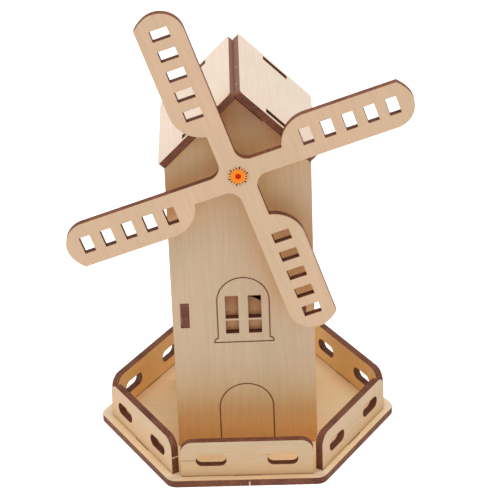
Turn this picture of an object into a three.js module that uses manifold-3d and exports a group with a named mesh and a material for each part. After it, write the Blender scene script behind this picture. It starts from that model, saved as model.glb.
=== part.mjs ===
// Laser-cut plywood windmill: a hexagonal yard with a fence, a square tower with
// gable ends and a two-panel roof, and a four-bladed sail that turns on a dowel.
// Every piece is flat 3 mm sheet, held by tabs in slots, apart from the dowel
// and the thin painted sun on the hub.
// Units are millimetres. The origin is under the middle of the base plate, +Z is up
// and the sail faces -Y.

import * as THREE from 'three';
import Module from 'manifold-3d';
import { mergeVertices } from 'three/addons/utils/BufferGeometryUtils.js';

// driving sizes
const SHEET = 3;               // thickness of every flat piece
const SLOT_PLAY = 0.25;        // room on each side of a tab in its slot
const REST_GAP = 0.05;         // room under a piece that stands on another
const CURVE_STEPS = 16;        // straight steps along each rounded corner

const BASE_ACROSS_FLATS = 106.4;
const BASE_CORNER = 5;
const YARD_TURN = THREE.MathUtils.degToRad(-1.3);   // the yard sits slightly askew

const FENCE_APOTHEM = 50.1;    // from the middle of the fence to the outer face
const FENCE_SHIFT = 0.4;       // the fence stands a little right of the yard's middle
const FENCE = { length: 53, height: 16, corner: 5, tab: 10 };
const FENCE_SLOT = { length: 12.3, height: 5.3, offset: 14.3, above: 7.5 };

const TOWER = { width: 56.4, depth: 54 };
const GABLE_APEX = 157.3;      // top of the gable above the floor
const GABLE_TAB = { near: 13.9, far: 25.1, height: 3.2 };
const FLOOR_TAB = { width: 10, offset: 14 };

const SIDE_OUTER = 24.75;      // outer face of each side wall
const SIDE_TOP = 132.6;
const SIDE_TAB = { low: 58.8, high: 69.4, reach: 26.9 };
const SIDE_FLOOR_TAB = 14;

const ROOF = { depth: 58, length: 40.4, corner: 1.8, slot: 13 };
const RIDGE = { x: 0.4, z: 158.3 };   // where the undersides of the two panels meet
const LEFT_START = 0.25;       // the left panel stops short of the right one
const RIGHT_START = -0.9;      // and the right panel runs on over its end

const PANE = { width: 5.2, inner: 1.95 };
const TALL_PANE = { low: 62.1, high: 72.3 };
const SHORT_PANE = { low: 55.35, high: 61.25 };
const WINDOW_LINE = { half: 10.35, spring: 70.1, bottom: 51.4, ear: 1.4, earTop: 53.3 };
const WINDOW_BACK = { half: 9.5, low: 50, arcX: -3.7, arcZ: 51.3, radius: 20 };
const DOOR_LINE = { half: 10.85, spring: 21, bottom: 5 };
const SCORE = { width: 0.5, depth: 0.3 };

const HUB_Z = 129.6;
const SAIL_BACK = 34;          // back face of the sail, in front of the middle
const SAIL_TURN = THREE.MathUtils.degToRad(18.4);
const BLADE = {
  straight: 2.3,               // from the spar line to the straight edge
  wide: 15.6,                  // from the spar line to the edge of the wide side
  neck: 5.4,                   // from the spar line to the edge of the neck
  shoulderY: 32,
  shoulderRadius: 12.8,
  tipY: 63.2,
  tipRadius: 9.35,
  tipJoin: THREE.MathUtils.degToRad(115),   // where the flatter end of the tip begins
  endRadius: 16.5,
  fillet: 5.2,
};
const BLADE_HOLE = { across: 7, along: 4.4, centre: 6.8, first: 64.3, pitch: 8.6, count: 5 };

const AXLE_RADIUS = 2;
const AXLE_HOLE_RADIUS = 2.2;
const GRIP_HOLE_RADIUS = 2.1;  // hole of a piece that is pushed tight on the dowel
const WASHER_RADIUS = 4;
const COLLAR_RADIUS = 4.5;
const SUN = { rays: 12, tip: 4.1, root: 3.1, thickness: 0.25 };

const SIDE_EDGE = TOWER.width / 2;
const FACE = TOWER.depth / 2;  // outer face of each gable wall
const HALF_ROOT = Math.SQRT1_2;

// materials, one for each piece

function wood(colour, roughness = 0.75) {
  return new THREE.MeshStandardMaterial({ color: colour, roughness, metalness: 0 });
}

// solid cutting

const wasm = await Module();
wasm.setup();

function toSolid(geometry) {
  const bare = geometry.clone();
  bare.deleteAttribute('normal');
  bare.deleteAttribute('uv');
  const merged = mergeVertices(bare, 1e-4);
  return new wasm.Manifold(new wasm.Mesh({
    numProp: 3,
    vertProperties: new Float32Array(merged.attributes.position.array),
    triVerts: new Uint32Array(merged.index.array),
  }));
}

function toGeometry(solid) {
  const mesh = solid.getMesh();
  const geometry = new THREE.BufferGeometry();
  geometry.setAttribute('position', new THREE.BufferAttribute(mesh.vertProperties, 3));
  geometry.setIndex(new THREE.BufferAttribute(mesh.triVerts, 1));
  geometry.computeVertexNormals();
  return geometry;
}

// outlines

function polygon(points) {
  return new THREE.Shape(points.map(([x, y]) => new THREE.Vector2(x, y)));
}

// a rectangle between two opposite corners, turned about the origin
function rectangle(x0, y0, x1, y1, angle = 0) {
  const shape = polygon([[x0, y0], [x1, y0], [x1, y1], [x0, y1]]);
  const origin = new THREE.Vector2();
  return new THREE.Shape(shape.getPoints().map((point) => point.rotateAround(origin, angle)));
}

function disc(x, y, radius) {
  return new THREE.Shape().absarc(x, y, radius, 0, 2 * Math.PI, false);
}

// a flat piece lying in XY, from z = 0 up
function sheet(shape, thickness = SHEET, steps = CURVE_STEPS) {
  return new THREE.ExtrudeGeometry(shape, { depth: thickness, bevelEnabled: false, curveSegments: steps });
}

// a flat piece with holes cut right through it
function cutSheet(shape, holes, thickness = SHEET) {
  let solid = toSolid(sheet(shape, thickness));
  for (const hole of holes) {
    const cutter = sheet(hole, thickness + 2);
    cutter.translate(0, 0, -1);
    solid = solid.subtract(toSolid(cutter));
  }
  return toGeometry(solid);
}

function piece(name, geometry, material) {
  const mesh = new THREE.Mesh(geometry, material);
  mesh.name = name;
  return mesh;
}

// stands a flat piece up so that its outline is seen from the front and its
// outer face is the given distance in front of the middle
function standing(name, geometry, material, outer) {
  const mesh = piece(name, geometry, material);
  mesh.rotation.x = Math.PI / 2;
  mesh.position.y = -outer + SHEET;
  return mesh;
}

function turned(mesh, angle) {
  const holder = new THREE.Group();
  holder.rotation.z = angle;
  holder.add(mesh);
  return holder;
}

// base plate

function baseOutline() {
  const radius = BASE_ACROSS_FLATS / 2 / Math.cos(Math.PI / 6);
  const shape = new THREE.Shape();
  const arcCentre = radius - BASE_CORNER / Math.cos(Math.PI / 6);
  for (let k = 0; k < 6; k += 1) {
    const angle = k * Math.PI / 3;
    const x = arcCentre * Math.cos(angle);
    const y = arcCentre * Math.sin(angle);
    shape.absarc(x, y, BASE_CORNER, angle - Math.PI / 6, angle + Math.PI / 6, false);
  }
  shape.closePath();
  return shape;
}

// slots for the fence, in the yard's own frame
function fenceSlots() {
  const halfTab = FENCE.tab / 2 + SLOT_PLAY;
  const near = -FENCE_APOTHEM - SLOT_PLAY;
  const far = -FENCE_APOTHEM + SHEET + SLOT_PLAY;
  const shift = new THREE.Vector2(FENCE_SHIFT, 0);
  return [0, 1, 2, 3, 4, 5].map((k) => {
    const slot = rectangle(-halfTab, near, halfTab, far, k * Math.PI / 3);
    return new THREE.Shape(slot.getPoints().map((point) => point.add(shift)));
  });
}

// slots for the feet of the four walls, which stand square to the tower
function wallSlots() {
  const slots = [];
  const halfFloorTab = FLOOR_TAB.width / 2 + SLOT_PLAY;
  const halfSideTab = SIDE_FLOOR_TAB / 2 + SLOT_PLAY;
  for (const side of [-1, 1]) {
    const outer = side * (FACE + SLOT_PLAY);
    const inner = side * (FACE - SHEET - SLOT_PLAY);
    for (const middle of [-FLOOR_TAB.offset, FLOOR_TAB.offset]) {
      slots.push(rectangle(middle - halfFloorTab, outer, middle + halfFloorTab, inner, -YARD_TURN));
    }
    const sideOuter = side * (SIDE_OUTER + SLOT_PLAY);
    const sideInner = side * (SIDE_OUTER - SHEET - SLOT_PLAY);
    slots.push(rectangle(sideInner, -halfSideTab, sideOuter, halfSideTab, -YARD_TURN));
  }
  return slots;
}

function basePlate() {
  const geometry = cutSheet(baseOutline(), [...fenceSlots(), ...wallSlots()]);
  return turned(piece('base_plate', geometry, wood(0xd9bd93)), YARD_TURN);
}

// fence

function fenceShape() {
  const half = FENCE.length / 2;
  const foot = SHEET + REST_GAP;
  const top = SHEET + FENCE.height;
  const shape = new THREE.Shape();
  shape.moveTo(-half, foot);
  shape.lineTo(-FENCE.tab / 2, foot);
  shape.lineTo(-FENCE.tab / 2, SLOT_PLAY);
  shape.lineTo(FENCE.tab / 2, SLOT_PLAY);
  shape.lineTo(FENCE.tab / 2, foot);
  shape.lineTo(half, foot);
  shape.absarc(half - FENCE.corner, top - FENCE.corner, FENCE.corner, 0, Math.PI / 2, false);
  shape.absarc(-half + FENCE.corner, top - FENCE.corner, FENCE.corner, Math.PI / 2, Math.PI, false);
  return shape;
}

function roundEndedHole(x, y) {
  const radius = FENCE_SLOT.height / 2;
  const reach = FENCE_SLOT.length / 2 - radius;
  const hole = new THREE.Shape();
  hole.absarc(x + reach, y, radius, -Math.PI / 2, Math.PI / 2, false);
  hole.absarc(x - reach, y, radius, Math.PI / 2, 1.5 * Math.PI, false);
  return hole;
}

function fence(place, index) {
  const middles = [-FENCE_SLOT.offset, FENCE_SLOT.offset];
  const holes = middles.map((x) => roundEndedHole(x, SHEET + FENCE_SLOT.above));
  const mesh = standing(`fence_${place}`, cutSheet(fenceShape(), holes), wood(0xe2cda8), FENCE_APOTHEM);
  const holder = turned(mesh, YARD_TURN + index * Math.PI / 3);
  holder.position.set(FENCE_SHIFT * Math.cos(YARD_TURN), FENCE_SHIFT * Math.sin(YARD_TURN), 0);
  return holder;
}

// gable walls

function gableOutline() {
  const foot = SHEET + REST_GAP;
  const eaves = GABLE_APEX - SIDE_EDGE;
  const shape = new THREE.Shape();
  shape.moveTo(-SIDE_EDGE, foot);
  for (const middle of [-FLOOR_TAB.offset, FLOOR_TAB.offset]) {
    shape.lineTo(middle - FLOOR_TAB.width / 2, foot);
    shape.lineTo(middle - FLOOR_TAB.width / 2, SLOT_PLAY);
    shape.lineTo(middle + FLOOR_TAB.width / 2, SLOT_PLAY);
    shape.lineTo(middle + FLOOR_TAB.width / 2, foot);
  }
  shape.lineTo(SIDE_EDGE, foot);
  shape.lineTo(SIDE_EDGE, eaves);
  const tab = gableTab();
  for (const [x, z] of tab) shape.lineTo(x, z);
  shape.lineTo(0, GABLE_APEX);
  for (const [x, z] of tab.reverse()) shape.lineTo(-x, z);
  shape.lineTo(-SIDE_EDGE, eaves);
  shape.closePath();
  return shape;
}

// corners of the tab on the right-hand slope of the gable, from the eaves up
function gableTab() {
  const onSlope = (along, out) => [(along + out) * HALF_ROOT, GABLE_APEX + (out - along) * HALF_ROOT];
  return [
    onSlope(GABLE_TAB.far, 0),
    onSlope(GABLE_TAB.far, GABLE_TAB.height),
    onSlope(GABLE_TAB.near, GABLE_TAB.height),
    onSlope(GABLE_TAB.near, 0),
  ];
}

function sideTabSlots() {
  const inner = SIDE_OUTER - SHEET - SLOT_PLAY;
  const outer = SIDE_OUTER + SLOT_PLAY;
  const low = SIDE_TAB.low - SLOT_PLAY;
  const high = SIDE_TAB.high + SLOT_PLAY;
  return [-1, 1].map((side) => rectangle(side * inner, low, side * outer, high));
}

function windowPanes() {
  const outer = PANE.inner + PANE.width;
  return [-1, 1].flatMap((side) => [TALL_PANE, SHORT_PANE].map(({ low, high }) => (
    rectangle(side * PANE.inner, low, side * outer, high)
  )));
}

// the scored line round the window, moved out by the given distance
function windowLine(out) {
  const half = WINDOW_LINE.half + out;
  const ear = half + WINDOW_LINE.ear;
  const bottom = WINDOW_LINE.bottom - out;
  const earTop = WINDOW_LINE.earTop + out;
  const shape = new THREE.Shape();
  shape.moveTo(-ear, bottom);
  shape.lineTo(ear, bottom);
  shape.quadraticCurveTo(ear + 0.3, earTop - 0.4, half, earTop);
  shape.lineTo(half, WINDOW_LINE.spring);
  shape.absarc(0, WINDOW_LINE.spring, half, 0, Math.PI, false);
  shape.lineTo(-half, earTop);
  shape.quadraticCurveTo(-ear - 0.3, earTop - 0.4, -ear, bottom);
  return shape;
}

function doorLine(out) {
  const half = DOOR_LINE.half + out;
  const bottom = DOOR_LINE.bottom - out;
  const shape = new THREE.Shape();
  shape.moveTo(-half, bottom);
  shape.lineTo(half, bottom);
  shape.lineTo(half, DOOR_LINE.spring);
  shape.absarc(0, DOOR_LINE.spring, half, 0, Math.PI, false);
  shape.closePath();
  return shape;
}

// a ring that cuts a scored line into the outer face of a standing sheet
function scoreCutter(outline) {
  const ring = cutSheet(outline(SCORE.width / 2), [outline(-SCORE.width / 2)]);
  ring.translate(0, 0, SHEET - SCORE.depth);
  return toSolid(ring);
}

function frontWall() {
  const holes = [...sideTabSlots(), ...windowPanes(), disc(0, HUB_Z, AXLE_HOLE_RADIUS)];
  const wall = toSolid(cutSheet(gableOutline(), holes));
  const scored = wall.subtract(scoreCutter(windowLine)).subtract(scoreCutter(doorLine));
  return standing('front_wall', toGeometry(scored), wood(0xcdb08c), FACE);
}

// a board behind the window panes, with a curved top that slopes down to the right
function windowBack() {
  const b = WINDOW_BACK;
  const angleAt = (x) => Math.acos((x - b.arcX) / b.radius);
  const shape = new THREE.Shape();
  shape.moveTo(-b.half, b.low);
  shape.lineTo(b.half, b.low);
  shape.absarc(b.arcX, b.arcZ, b.radius, angleAt(b.half), angleAt(-b.half), false);
  return standing('window_back', sheet(shape), wood(0xb78f66), FACE - SHEET - REST_GAP);
}

function backWall() {
  const geometry = cutSheet(gableOutline(), sideTabSlots());
  const mesh = standing('back_wall', geometry, wood(0xcdb08c), FACE);
  return turned(mesh, Math.PI);
}

// side walls

function sideWall(name, angle) {
  const half = FACE - SHEET - 0.2;
  const foot = SHEET + REST_GAP;
  const outline = [
    [-half, foot], [-SIDE_FLOOR_TAB / 2, foot], [-SIDE_FLOOR_TAB / 2, SLOT_PLAY],
    [SIDE_FLOOR_TAB / 2, SLOT_PLAY], [SIDE_FLOOR_TAB / 2, foot], [half, foot],
    [half, SIDE_TAB.low], [SIDE_TAB.reach, SIDE_TAB.low], [SIDE_TAB.reach, SIDE_TAB.high],
    [half, SIDE_TAB.high], [half, SIDE_TOP], [-half, SIDE_TOP], [-half, SIDE_TAB.high],
    [-SIDE_TAB.reach, SIDE_TAB.high], [-SIDE_TAB.reach, SIDE_TAB.low], [-half, SIDE_TAB.low],
  ];
  return turned(standing(name, sheet(polygon(outline)), wood(0xc9a882), SIDE_OUTER), angle);
}

// roof

// a panel seen from above its face, with x running down the slope from the ridge
function roofShape(start) {
  const x0 = start;
  const x1 = start + ROOF.length;
  const y0 = -ROOF.depth / 2;
  const r = ROOF.corner;
  const shape = new THREE.Shape();
  shape.absarc(x1 - r, y0 + r, r, -Math.PI / 2, 0, false);
  shape.absarc(x1 - r, -y0 - r, r, 0, Math.PI / 2, false);
  shape.absarc(x0 + r, -y0 - r, r, Math.PI / 2, Math.PI, false);
  shape.absarc(x0 + r, y0 + r, r, Math.PI, 1.5 * Math.PI, false);
  return shape;
}

function roofSlots(start) {
  const middle = start + ROOF.length / 2;
  const inner = FACE - SHEET - SLOT_PLAY;
  const outer = FACE + SLOT_PLAY;
  return [-1, 1].map((side) => (
    rectangle(middle - ROOF.slot / 2, side * inner, middle + ROOF.slot / 2, side * outer)
  ));
}

function roofPanel(name, start, side) {
  const geometry = cutSheet(roofShape(start), roofSlots(start));
  if (side < 0) geometry.rotateZ(Math.PI);
  const mesh = piece(name, geometry, wood(0xecdac6));
  mesh.rotation.y = side * Math.PI / 4;
  mesh.position.set(RIDGE.x, 0, RIDGE.z);
  return mesh;
}

// sail

// one blade pointing up, with its straight edge on the right, and the fillet
// that leads into the next blade anticlockwise
function addBlade(shape, turn) {
  const quarter = turn * Math.PI / 2;
  const b = BLADE;
  const at = (x, y) => new THREE.Vector2(x, y).rotateAround(new THREE.Vector2(), quarter);
  const arc = (x, y, radius, from, to, clockwise) => {
    const centre = at(x, y);
    shape.absarc(centre.x, centre.y, radius, from + quarter, to + quarter, clockwise);
  };
  const tipX = b.straight - b.tipRadius;
  const endX = tipX + (b.tipRadius - b.endRadius) * Math.cos(b.tipJoin);
  const endY = b.tipY + (b.tipRadius - b.endRadius) * Math.sin(b.tipJoin);
  const endTurn = Math.acos((-b.wide - endX) / b.endRadius);
  const shoulderX = -b.wide + b.shoulderRadius;
  arc(tipX, b.tipY, b.tipRadius, 0, b.tipJoin, false);
  arc(endX, endY, b.endRadius, b.tipJoin, endTurn, false);
  const shoulderEnd = Math.PI + Math.acos((b.neck + shoulderX) / b.shoulderRadius);
  arc(shoulderX, b.shoulderY, b.shoulderRadius, Math.PI, shoulderEnd, false);
  arc(-b.neck - b.fillet, b.straight + b.fillet, b.fillet, 0, -Math.PI / 2, true);
}

function sailShape() {
  const shape = new THREE.Shape();
  for (let turn = 0; turn < 4; turn += 1) addBlade(shape, turn);
  return shape;
}

function bladeHoles() {
  const holes = [];
  const h = BLADE_HOLE;
  for (let turn = 0; turn < 4; turn += 1) {
    for (let k = 0; k < h.count; k += 1) {
      const middle = h.first - k * h.pitch;
      const low = middle - h.along / 2;
      const high = middle + h.along / 2;
      const left = -h.centre - h.across / 2;
      holes.push(rectangle(left, low, left + h.across, high, turn * Math.PI / 2));
    }
  }
  return holes;
}

// lays a piece along Y, starting at the given distance in front of the middle
function alongY(name, geometry, near, material) {
  const mesh = piece(name, geometry, material);
  mesh.rotation.x = Math.PI / 2;
  mesh.position.y = -near;
  return mesh;
}

// a flat ring that sits on the dowel
function ringOnDowel(name, radius, holeRadius, near) {
  const geometry = cutSheet(disc(0, 0, radius), [disc(0, 0, holeRadius)]);
  return alongY(name, geometry, near, wood(0xcaa97d));
}

function sunShape() {
  const points = [];
  for (let k = 0; k < 2 * SUN.rays; k += 1) {
    const radius = k % 2 === 0 ? SUN.tip : SUN.root;
    const angle = k * Math.PI / SUN.rays;
    points.push(new THREE.Vector2(radius * Math.cos(angle), radius * Math.sin(angle)));
  }
  return new THREE.Shape(points);
}

function sails() {
  const front = SAIL_BACK + SHEET;
  const collarBack = FACE - 2 * SHEET - 0.2;
  const cuts = [...bladeHoles(), disc(0, 0, GRIP_HOLE_RADIUS)];
  const rotor = cutSheet(sailShape(), cuts);
  const dowel = sheet(disc(0, 0, AXLE_RADIUS), front - collarBack);
  const sun = sheet(sunShape(), SUN.thickness);
  const turning = new THREE.Group();
  turning.add(alongY('sail_rotor', rotor, SAIL_BACK, wood(0xd0b28f)));
  turning.add(alongY('sun_badge', sun, front + REST_GAP, wood(0xf08a3c, 0.6)));
  turning.add(alongY('axle_dowel', dowel, collarBack, wood(0xc9a06a)));
  turning.add(ringOnDowel('outer_washer', WASHER_RADIUS, GRIP_HOLE_RADIUS, SAIL_BACK - REST_GAP - SHEET));
  turning.add(ringOnDowel('axle_collar', COLLAR_RADIUS, GRIP_HOLE_RADIUS, collarBack));
  turning.position.z = HUB_Z;
  turning.rotation.y = -SAIL_TURN;
  return turning;
}

function innerWasher() {
  const mesh = ringOnDowel('inner_washer', WASHER_RADIUS, AXLE_HOLE_RADIUS, FACE + REST_GAP);
  mesh.position.z = HUB_Z;
  return mesh;
}

const group = new THREE.Group();
group.add(basePlate());
const fencePlaces = ['front', 'front_right', 'back_right', 'back', 'back_left', 'front_left'];
fencePlaces.forEach((place, index) => group.add(fence(place, index)));
group.add(frontWall());
group.add(windowBack());
group.add(backWall());
group.add(sideWall('right_wall', Math.PI / 2));
group.add(sideWall('left_wall', -Math.PI / 2));
group.add(roofPanel('roof_right', RIGHT_START, 1));
group.add(roofPanel('roof_left', LEFT_START, -1));
group.add(innerWasher());
group.add(sails());

export default group;
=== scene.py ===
import math

import bpy
from mathutils import Matrix, Vector


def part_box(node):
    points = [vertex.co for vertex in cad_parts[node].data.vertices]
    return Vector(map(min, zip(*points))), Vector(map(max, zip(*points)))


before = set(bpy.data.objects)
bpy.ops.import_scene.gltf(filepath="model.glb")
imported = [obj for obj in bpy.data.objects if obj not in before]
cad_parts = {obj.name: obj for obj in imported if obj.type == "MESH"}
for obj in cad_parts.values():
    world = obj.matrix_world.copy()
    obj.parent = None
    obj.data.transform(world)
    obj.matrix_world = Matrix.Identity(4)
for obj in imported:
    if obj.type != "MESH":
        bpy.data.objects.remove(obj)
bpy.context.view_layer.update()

# ---------------------------------------------------------------- sizes

MM = 0.001
SHEET = 3 * MM
FACE_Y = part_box("front_wall")[0].y            # outer face of the front wall
HUB_Z = (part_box("sun_badge")[0].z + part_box("sun_badge")[1].z) / 2
SAIL_TURN = math.radians(18.4)
YARD_TURN = math.radians(-1.3)
SHADE_REACH = 30 * MM                         # how far off a piece still adds painted bounce light and shade to the wood
TOASTED_RIM = 0.5 * MM                        # reach of the browned rim along a cut edge
PORE_DEPTH = 0.015 * MM
PAINT_DEPTH = 0.02 * MM

# directions of faces, slopes and grain
UP = Vector((0, 0, 1))
ACROSS = Vector((1, 0, 0))
DEEP = Vector((0, 1, 0))
FRONT = Vector((0, -1, 0))
BLADE = Vector((-math.sin(SAIL_TURN), 0, math.cos(SAIL_TURN)))
DOWN_RIGHT = Vector((1, 0, -1)).normalized()
UP_RIGHT = Vector((1, 0, 1)).normalized()
UP_LEFT = Vector((-1, 0, 1)).normalized()

# ---------------------------------------------------------------- colours


def srgb(red, green, blue):
    """A colour from 0 to 255 on screen, as the linear values that the shaders use."""

    def linear(value):
        value /= 255
        return value / 12.92 if value <= 0.04045 else ((value + 0.055) / 1.055) ** 2.4

    return (linear(red), linear(green), linear(blue), 1)


def tinted(colour, red, green, blue):
    """The colour with each channel multiplied."""
    return (colour[0] * red, colour[1] * green, colour[2] * blue, 1)


# faces of the sheets
WALL = srgb(188, 164, 137)
WINDOW_BACK = srgb(200, 160, 132)
SAIL = srgb(197, 167, 138)
ROOF = srgb(211, 194, 177)
FENCE = srgb(192, 167, 140)
# inner faces of the fence boards: the same wood as the outer faces, painted lighter and warmer as
# light bounced inside the yard
FENCE_INSIDE_PAINTED_BOUNCE = srgb(240, 216, 176)
BASE = srgb(221, 203, 180)
DOWEL = srgb(214, 180, 134)

# cut, scored and broken wood
CHAR = srgb(112, 60, 38)
CHAR_DEEP = srgb(60, 27, 14)
CHAR_PALE = srgb(152, 98, 70)
SCORED = srgb(130, 90, 62)
TOAST = srgb(158, 100, 60)
SNAPPED = srgb(206, 176, 146)
# the charred ridge end of a roof panel, painted paler as lit from above
RIDGE_END_PAINTED_LIGHT = srgb(128, 94, 80)

# paint of the sun
SUN_RED = srgb(178, 24, 0)
SUN_ORANGE = srgb(240, 116, 10)
SUN_AMBER = srgb(236, 136, 26)
SUN_RAY = srgb(214, 150, 98)
SUN_MARK = srgb(84, 38, 8)

# tints that multiply the colour of a face
SHADE_WARMTH = (1.1, 0.93, 0.65, 1)           # light that has bounced from wood to wood
WALL_WARMTH = (1.22, 0.93, 0.61, 1)           # the same on the front wall, close behind the sail
GREENISH = (0.965, 0.985, 0.965, 1)
PINKISH = (1.02, 0.99, 0.985, 1)
# painted shade on the front margin of the base, outside the fence
MARGIN_PAINTED_SHADE = (0.86, 0.81, 0.77, 1)
# painted shadow of the roof on the wall below it
EAVES_PAINTED_SHADE = (0.62, 0.5, 0.44, 1)
# painted bounce light from the yard, warming the lower front wall
YARD_PAINTED_BOUNCE = (1.02, 0.98, 0.8, 1)
# painted shade on the board behind the window, darker towards its top
FRAME_PAINTED_SHADE = (0.66, 0.56, 0.46, 1)

# ---------------------------------------------------------------- shader building


class Shader:
    """A material whose nodes are added and linked one call at a time."""

    def __init__(self, name):
        self.material = bpy.data.materials.new(name)
        self.material.use_nodes = True
        self.tree = self.material.node_tree
        self.surface = self.tree.nodes["Principled BSDF"]
        self.place = self.tree.nodes.new("ShaderNodeTexCoord")

    def put(self, value, socket):
        """Links an output to the socket or sets the socket's value."""
        if isinstance(value, bpy.types.NodeSocket):
            self.tree.links.new(value, socket)
        elif value is not None:
            socket.default_value = value

    def math(self, operation, a, b=None, c=None):
        node = self.tree.nodes.new("ShaderNodeMath")
        node.operation = operation
        for value, socket in zip((a, b, c), node.inputs):
            self.put(value, socket)
        return node.outputs[0]

    def vector(self, operation, a, b=None):
        node = self.tree.nodes.new("ShaderNodeVectorMath")
        node.operation = operation
        for value, socket in zip((a, b), node.inputs):
            self.put(value, socket)
        return node.outputs["Value" if operation in ("DOT_PRODUCT", "LENGTH") else "Vector"]

    def combine(self, x, y, z):
        node = self.tree.nodes.new("ShaderNodeCombineXYZ")
        for value, socket in zip((x, y, z), node.inputs):
            self.put(value, socket)
        return node.outputs[0]

    def noise(self, vector, scale, detail, roughness=0.55):
        node = self.tree.nodes.new("ShaderNodeTexNoise")
        self.put(vector, node.inputs["Vector"])
        node.inputs["Scale"].default_value = scale
        node.inputs["Detail"].default_value = detail
        node.inputs["Roughness"].default_value = roughness
        return node.outputs["Fac"]

    def ramp(self, value, low, high, out_low=0.0, out_high=1.0):
        """The value carried smoothly from low..high to out_low..out_high."""
        node = self.tree.nodes.new("ShaderNodeMapRange")
        node.interpolation_type = "SMOOTHSTEP"
        self.put(value, node.inputs["Value"])
        node.inputs["From Min"].default_value = low
        node.inputs["From Max"].default_value = high
        node.inputs["To Min"].default_value = out_low
        node.inputs["To Max"].default_value = out_high
        return node.outputs["Result"]

    def mix(self, factor, a, b, mode="MIX"):
        node = self.tree.nodes.new("ShaderNodeMix")
        node.data_type = "RGBA"
        node.blend_type = mode
        self.put(factor, node.inputs["Factor"])
        self.put(a, node.inputs["A"])
        self.put(b, node.inputs["B"])
        return node.outputs["Result"]

    def bump(self, height, distance, strength=1.0):
        node = self.tree.nodes.new("ShaderNodeBump")
        node.inputs["Strength"].default_value = strength
        node.inputs["Distance"].default_value = distance
        self.put(height, node.inputs["Height"])
        self.put(node.outputs["Normal"], self.surface.inputs["Normal"])

    def along(self, direction):
        """How far a point lies along a direction, in millimetres, in the piece's own frame."""
        scaled = tuple(c / MM for c in direction)
        return self.vector("DOT_PRODUCT", self.place.outputs["Object"], scaled)

    def facing(self, direction):
        """1 where the surface faces the direction, -1 where it faces away."""
        return self.vector("DOT_PRODUCT", self.place.outputs["Normal"], tuple(direction))


# ---------------------------------------------------------------- plywood


def near_edge(shader, radius):
    """0 on the open face of a sheet and rising to 1 at its cut edges."""
    bevel = shader.tree.nodes.new("ShaderNodeBevel")
    bevel.samples = 6
    bevel.inputs["Radius"].default_value = radius
    true_normal = shader.tree.nodes.new("ShaderNodeNewGeometry").outputs["Normal"]
    likeness = shader.vector("DOT_PRODUCT", bevel.outputs["Normal"], true_normal)
    return shader.ramp(likeness, 1.0, 0.86)


def tucked_in(shader, reach):
    """0 on open wood and rising to 1 where other pieces stand close around it."""
    occlusion = shader.tree.nodes.new("ShaderNodeAmbientOcclusion")
    occlusion.samples = 8
    occlusion.inputs["Distance"].default_value = reach
    return shader.ramp(occlusion.outputs["AO"], 1.0, 0.3)


def box_mask(shader, boxes):
    """1 where a point lies within the half width of the middle of every box, else 0."""
    mask = 1.0
    for direction, middle, half in boxes:
        away = shader.math("ABSOLUTE", shader.math("SUBTRACT", shader.along(direction), middle))
        mask = shader.math("MULTIPLY", mask, shader.math("LESS_THAN", away, half))
    return mask


def grain(shader, along, across, through, seed):
    """Long fine streaks, broad clouds and short fibres, as three values about 0.5."""
    shifted = shader.math("ADD", across, seed * 31.7)
    waver = shader.noise(shader.combine(along, shifted, seed), scale=0.02, detail=1)
    bent = shader.math("ADD", shifted, shader.math("MULTIPLY", waver, 5))
    long_streaks = shader.combine(shader.math("MULTIPLY", along, 0.035), bent, through)
    short_streaks = shader.combine(shader.math("MULTIPLY", along, 0.12), bent, through)
    streaks = shader.noise(long_streaks, scale=1.5, detail=3, roughness=0.6)
    fibres = shader.noise(short_streaks, scale=4.2, detail=2, roughness=0.5)
    half_along = shader.math("MULTIPLY", along, 0.6)
    stretched = shader.combine(half_along, shifted, through)
    clouds = shader.noise(stretched, scale=0.045, detail=3, roughness=0.6)
    return streaks, clouds, fibres


def cut_edge(shader, through, run, seed):
    """The colour of a laser-cut edge: burnt plies with darker glue lines and fine striations."""
    plies = shader.math("PINGPONG", through, 0.5)
    glue = shader.ramp(plies, 0.5, 0.36)
    striations = shader.noise(shader.combine(run, through, seed), scale=1.6, detail=3)
    colour = shader.mix(shader.ramp(striations, 0.35, 0.75), CHAR, CHAR_PALE)
    patches = shader.noise(shader.combine(run, seed, 0), scale=0.09, detail=2)
    colour = shader.mix(shader.ramp(patches, 0.4, 0.7, out_high=0.5), colour, CHAR_DEEP)
    return shader.mix(shader.math("MULTIPLY", glue, 0.35), colour, CHAR_DEEP)


def wood_face(shader, pale, streaks, clouds, fibres):
    """The open face of a sheet: one pale tone with faint streaks, clouds and pores."""
    dark = tinted(pale, 0.945, 0.93, 0.91)
    light = tinted(pale, 1.03, 1.04, 1.05)
    face = shader.mix(shader.ramp(streaks, 0.2, 0.8), dark, light)
    cloud = shader.mix(shader.ramp(clouds, 0.35, 0.65), GREENISH, PINKISH)
    face = shader.mix(1.0, face, cloud, "MULTIPLY")
    return shader.mix(shader.ramp(fibres, 0.66, 0.85, out_high=0.09), face, TOAST)


def with_painted_light(shader, face, painted_light_tints):
    """The face with each tint of painted shade and bounce light coming in along its direction."""
    for tint, direction, start, full in painted_light_tints:
        multiplied = shader.mix(1.0, face, tint, "MULTIPLY")
        face = shader.mix(shader.ramp(shader.along(direction), start, full), face, multiplied)
    return face


def scored(shader, face, direction, depth):
    """The face with its lines browned where they are sunk below a depth along a direction."""
    below = shader.math("LESS_THAN", shader.along(direction), depth)
    outward = shader.math("GREATER_THAN", shader.facing(direction), 0.5)
    return shader.mix(shader.math("MULTIPLY", below, outward), face, SCORED)


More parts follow.
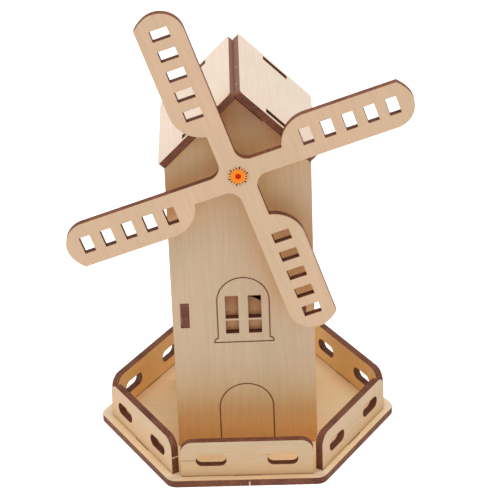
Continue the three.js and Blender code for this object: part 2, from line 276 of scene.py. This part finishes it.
def plywood(
    name, normal, grain_along, pale, seed,
    back=None, groove=None, warmth=SHADE_WARMTH, painted_light_tints=(), marks=(),
):
    """Bare sheet with burnt edges.

    normal is the way the sheet's face points, and grain_along the way its grain runs. pale is
    the tone of its face, and back the tone of its other face if that differs. groove is a
    direction and the depth along it below which a face is scored. warmth is the tint of the
    painted bounce light and shade on the tucked-in parts. Each of the painted shade and bounce
    light tints is a tint, a direction, and where along it the tint starts and is full.
    Each mark is a colour and its boxes: a direction, a middle and a half width.
    """
    shader = Shader(name)
    along = shader.along(grain_along)
    across = shader.along(normal.cross(grain_along))
    through = shader.along(normal)
    streaks, clouds, fibres = grain(shader, along, across, through, seed)

    face = wood_face(shader, pale, streaks, clouds, fibres)
    if back is not None:
        reverse = wood_face(shader, back, streaks, clouds, fibres)
        face = shader.mix(shader.math("LESS_THAN", shader.facing(normal), 0), face, reverse)
    # painted bounce light and shade: the face is warmed where other pieces stand close around it
    warmed = shader.mix(1.0, face, warmth, "MULTIPLY")
    face = shader.mix(tucked_in(shader, SHADE_REACH), face, warmed)
    # painted shade and bounce light, coming in along set directions
    face = with_painted_light(shader, face, painted_light_tints)
    rim = shader.math("MULTIPLY", near_edge(shader, TOASTED_RIM), 0.4)
    face = shader.mix(rim, face, TOAST)
    if groove is not None:
        face = scored(shader, face, *groove)

    edge = cut_edge(shader, through, shader.math("ADD", along, across), seed)
    flatness = shader.math("ABSOLUTE", shader.facing(normal))
    colour = shader.mix(shader.ramp(flatness, 0.55, 0.85), edge, face)
    for tone, *boxes in marks:
        colour = shader.mix(box_mask(shader, boxes), colour, tone)

    shader.put(colour, shader.surface.inputs["Base Color"])
    roughness = shader.ramp(streaks, 0.3, 0.7, out_low=0.72, out_high=0.58)
    shader.put(roughness, shader.surface.inputs["Roughness"])
    shader.surface.inputs["Specular IOR Level"].default_value = 0.25
    height = shader.math("MULTIPLY_ADD", fibres, 0.6, streaks)
    shader.bump(height, PORE_DEPTH, strength=0.5)
    return shader.material


def finish_node(name, material):
    """Gives a CAD piece its material and welds the points that its faces repeat."""
    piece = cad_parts[name]
    piece.data.materials.clear()
    piece.data.materials.append(material)
    weld = piece.modifiers.new("weld", "WELD")
    weld.merge_threshold = 1e-6


# ---------------------------------------------------------------- pieces

# places of painted shade and bounce light tints and of marks, in millimetres along their
# directions
NICK_MIDDLE = -53.2           # in the front edge of the base
MARGIN_START = -49            # the front margin of the base, outside the fence, painted darker as shade
MARGIN_FULL = -50.5
FOOT_LINE = 3.15              # where the fence boards meet the base
FENCE_FACE = 50.1             # outer face of the front fence board
FENCE_MARKS = 10.5            # height of the laser line and of the snapped tab
LASER_LINE = -23.2            # at the left end of the front board
TAB_END = 26.7                # at the right end of the front left board
SCORE_DEPTH = 0.15
EAVES_START = 134             # the wall below the roof, painted darker as the roof's shadow
EAVES_FULL = 154
GLOW_START = 50               # the wall above the yard, painted warmer as light bounced from the yard
GLOW_FULL = 15
FRAME_START = 60              # the board behind the window, painted darker towards its top as shade
FRAME_FULL = 70
RIDGE_LINE = 0.06             # half width of the ridge end of a roof panel, painted paler as lit from above
NICKS_DEEP = (-19, -3)        # in the ridge end of the right roof panel
NICKS_OUT = 113.4


def dress_base():
    depth = Matrix.Rotation(YARD_TURN, 3, "Z") @ DEEP
    nick = (SNAPPED, (ACROSS, 0, 0.3), (depth, NICK_MIDDLE, 0.6), (UP, 1, 1))
    # painted shade along the front margin of the base
    front_margin = (MARGIN_PAINTED_SHADE, depth, MARGIN_START, MARGIN_FULL)
    material = plywood(
        "base_ply", UP, ACROSS, BASE, seed=1, painted_light_tints=(front_margin,), marks=(nick,),
    )
    finish_node("base_plate", material)


def dress_fence():
    places = ["front", "front_right", "back_right", "back", "back_left", "front_left"]
    for index, place in enumerate(places):
        turn = Matrix.Rotation(YARD_TURN + index * math.pi / 3, 3, "Z")
        outward = turn @ FRONT
        length = turn @ ACROSS
        foot_line = (CHAR, (UP, FOOT_LINE, 0.13))
        laser_line = (
            CHAR, (length, LASER_LINE, 3), (UP, FENCE_MARKS, 0.12), (outward, FENCE_FACE, 0.2),
        )
        snapped_tab = (SNAPPED, (length, TAB_END, 0.3), (UP, FENCE_MARKS, 0.25))
        extra = {"front": (laser_line,), "front_left": (snapped_tab,)}.get(place, ())
        marks = (foot_line, *extra)
        name = f"fence_{place}"
        # the inner face takes the tone painted lighter and warmer as bounce light
        material = plywood(
            f"{name}_ply", outward, length, FENCE,
            seed=11 + index, back=FENCE_INSIDE_PAINTED_BOUNCE, marks=marks,
        )
        finish_node(name, material)


def dress_tower():
    groove = (FRONT, -FACE_Y / MM - SCORE_DEPTH)
    # painted shadow of the roof on the wall below it
    under_eaves = (EAVES_PAINTED_SHADE, UP, EAVES_START, EAVES_FULL)
    # painted bounce light from the yard on the lower front wall
    by_the_yard = (YARD_PAINTED_BOUNCE, UP, GLOW_START, GLOW_FULL)
    front_ply = plywood(
        "front_wall_ply", FRONT, UP, WALL,
        seed=21, groove=groove, warmth=WALL_WARMTH, painted_light_tints=(under_eaves, by_the_yard),
    )
    finish_node("front_wall", front_ply)
    # painted shade on the board behind the window, darker towards its top
    under_frame = (FRAME_PAINTED_SHADE, UP, FRAME_START, FRAME_FULL)
    window_ply = plywood(
        "window_back_ply", FRONT, UP, WINDOW_BACK, seed=25, painted_light_tints=(under_frame,),
    )
    finish_node("window_back", window_ply)
    finish_node("back_wall", plywood("back_wall_ply", DEEP, UP, WALL, seed=22))
    finish_node("right_wall", plywood("right_wall_ply", ACROSS, UP, WALL, seed=23))
    finish_node("left_wall", plywood("left_wall_ply", -ACROSS, UP, WALL, seed=24))


def dress_roof():
    """The panels, each painted paler on its end at the ridge as lit from above, and the right one
    nicked there.
    """
    low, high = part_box("roof_right")
    right_end = (low.x - high.z + SHEET * UP_RIGHT.z) / MM * DOWN_RIGHT.x
    low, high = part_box("roof_left")
    left_end = -(high.x + high.z - SHEET * UP_RIGHT.z) / MM * UP_RIGHT.x
    on_right = (DOWN_RIGHT, right_end, RIDGE_LINE)
    on_left = (-UP_RIGHT, left_end, RIDGE_LINE)
    nicks = [
        (SNAPPED, on_right, (DEEP, place, 0.3), (UP_RIGHT, NICKS_OUT, 0.5)) for place in NICKS_DEEP
    ]
    # the ridge ends painted paler as lit from above
    right_marks = ((RIDGE_END_PAINTED_LIGHT, on_right), *nicks)
    left_marks = ((RIDGE_END_PAINTED_LIGHT, on_left),)
    right_ply = plywood("roof_right_ply", UP_RIGHT, DEEP, ROOF, seed=31, marks=right_marks)
    left_ply = plywood("roof_left_ply", UP_LEFT, DEEP, ROOF, seed=32, marks=left_marks)
    finish_node("roof_right", right_ply)
    finish_node("roof_left", left_ply)


def sun_paint():
    """Orange with a red middle and a ring of short dark marks at the roots of the rays."""
    marks_per_radian = 18 / (2 * math.pi)
    shader = Shader("sun_paint")
    x = shader.along(ACROSS)
    z = shader.math("SUBTRACT", shader.along(UP), HUB_Z / MM)
    radius = shader.vector("LENGTH", shader.combine(x, 0, z))
    mottle = shader.noise(shader.place.outputs["Object"], scale=1500, detail=2)
    orange = shader.mix(mottle, SUN_ORANGE, SUN_AMBER)
    colour = shader.mix(shader.ramp(radius, 1.05, 1.25), SUN_RED, orange)
    colour = shader.mix(shader.ramp(radius, 2.4, 3.1), colour, SUN_RAY)
    eighteenths = shader.math("MULTIPLY", shader.math("ARCTAN2", z, x), marks_per_radian)
    between_marks = shader.math("PINGPONG", eighteenths, 0.5)
    mark = shader.ramp(between_marks, 0.26, 0.16)
    ring = shader.ramp(radius, 2.65, 2.85)
    colour = shader.mix(shader.math("MULTIPLY", mark, ring), colour, SUN_MARK)
    shader.put(colour, shader.surface.inputs["Base Color"])
    shader.surface.inputs["Roughness"].default_value = 0.6
    shader.surface.inputs["Specular IOR Level"].default_value = 0.1
    shader.bump(mottle, PAINT_DEPTH)
    return shader.material


def dowel_wood(name, seed):
    """The warmer wood of the dowel and its rings, with an upright grain."""
    return plywood(name, DEEP, UP, DOWEL, seed)


def dress_sail():
    finish_node("sail_rotor", plywood("sail_ply", FRONT, BLADE, SAIL, seed=41))
    finish_node("sun_badge", sun_paint())
    finish_node("axle_dowel", dowel_wood("dowel_wood", seed=51))
    finish_node("inner_washer", dowel_wood("inner_washer_ply", seed=52))
    finish_node("outer_washer", dowel_wood("outer_washer_ply", seed=53))
    finish_node("axle_collar", dowel_wood("collar_ply", seed=54))


# ---------------------------------------------------------------- stage

FLOOR_HALF = 6
FLOOR_GLOW = 0.55
TENT_BRIGHTNESS = 0.75
LIT_POINT = (0, 0, 0.08)
CAMERA_PITCH = math.radians(27.814)
CAMERA_YAW = math.radians(0.088)
CAMERA_ROLL = math.radians(-2.088)
CAMERA_AIM = Vector((3.56, -0.08, 78.35)) * MM
CAMERA_DISTANCE = 0.9102
CAMERA_LENS = 162.22
CAMERA_SENSOR = 36


def make_floor():
    """A white floor that glows a little, so that it fades into the white behind it."""
    half = FLOOR_HALF
    mesh = bpy.data.meshes.new("floor")
    corners = [(-half, -half, 0), (half, -half, 0), (half, half, 0), (-half, half, 0)]
    mesh.from_pydata(corners, [], [(0, 1, 2, 3)])
    floor = bpy.data.objects.new("floor", mesh)
    bpy.context.scene.collection.objects.link(floor)
    shader = Shader("floor_white")
    surface = shader.surface
    surface.inputs["Base Color"].default_value = (0.8, 0.8, 0.8, 1)
    surface.inputs["Roughness"].default_value = 1
    surface.inputs["Specular IOR Level"].default_value = 0
    surface.inputs["Emission Color"].default_value = (1, 1, 1, 1)
    surface.inputs["Emission Strength"].default_value = FLOOR_GLOW
    mesh.materials.append(shader.material)


def make_light(name, place, size, power):
    light = bpy.data.lights.new(name, "AREA")
    light.shape = "SQUARE"
    light.size = size
    light.energy = power
    lamp = bpy.data.objects.new(name, light)
    lamp.location = place
    lamp.rotation_mode = "QUATERNION"
    lamp.rotation_quaternion = (Vector(LIT_POINT) - Vector(place)).to_track_quat("-Z", "Y")
    bpy.context.scene.collection.objects.link(lamp)


def make_lights():
    world = bpy.data.worlds.new("white_tent")
    world.use_nodes = True
    background = world.node_tree.nodes["Background"]
    background.inputs["Color"].default_value = (1, 1, 1, 1)
    background.inputs["Strength"].default_value = TENT_BRIGHTNESS
    bpy.context.scene.world = world
    make_light("top_softbox", place=(0.1, -0.05, 1.0), size=0.8, power=6)
    make_light("left_softbox", place=(-1.0, -0.25, 0.45), size=0.6, power=2.6)


def make_camera():
    """A camera that looks down at the front, with a trace of turn and roll."""
    ahead = Vector((math.sin(CAMERA_YAW), math.cos(CAMERA_YAW), 0))
    forward = ahead * math.cos(CAMERA_PITCH) - UP * math.sin(CAMERA_PITCH)
    level = Vector((math.cos(CAMERA_YAW), -math.sin(CAMERA_YAW), 0))
    upright = level.cross(forward)
    right = level * math.cos(CAMERA_ROLL) + upright * math.sin(CAMERA_ROLL)
    up = upright * math.cos(CAMERA_ROLL) - level * math.sin(CAMERA_ROLL)
    data = bpy.data.cameras.new("camera")
    data.sensor_width = CAMERA_SENSOR
    data.lens = CAMERA_LENS
    data.clip_start = 0.05
    data.clip_end = 20
    camera = bpy.data.objects.new("camera", data)
    rotation = Matrix((right, up, -forward)).transposed()
    place = Matrix.Translation(CAMERA_AIM - forward * CAMERA_DISTANCE)
    camera.matrix_world = place @ rotation.to_4x4()
    bpy.context.scene.collection.objects.link(camera)
    bpy.context.scene.camera = camera


dress_base()
dress_fence()
dress_tower()
dress_roof()
dress_sail()
make_floor()
make_lights()
make_camera()
bpy.context.scene.view_settings.view_transform = "Standard"
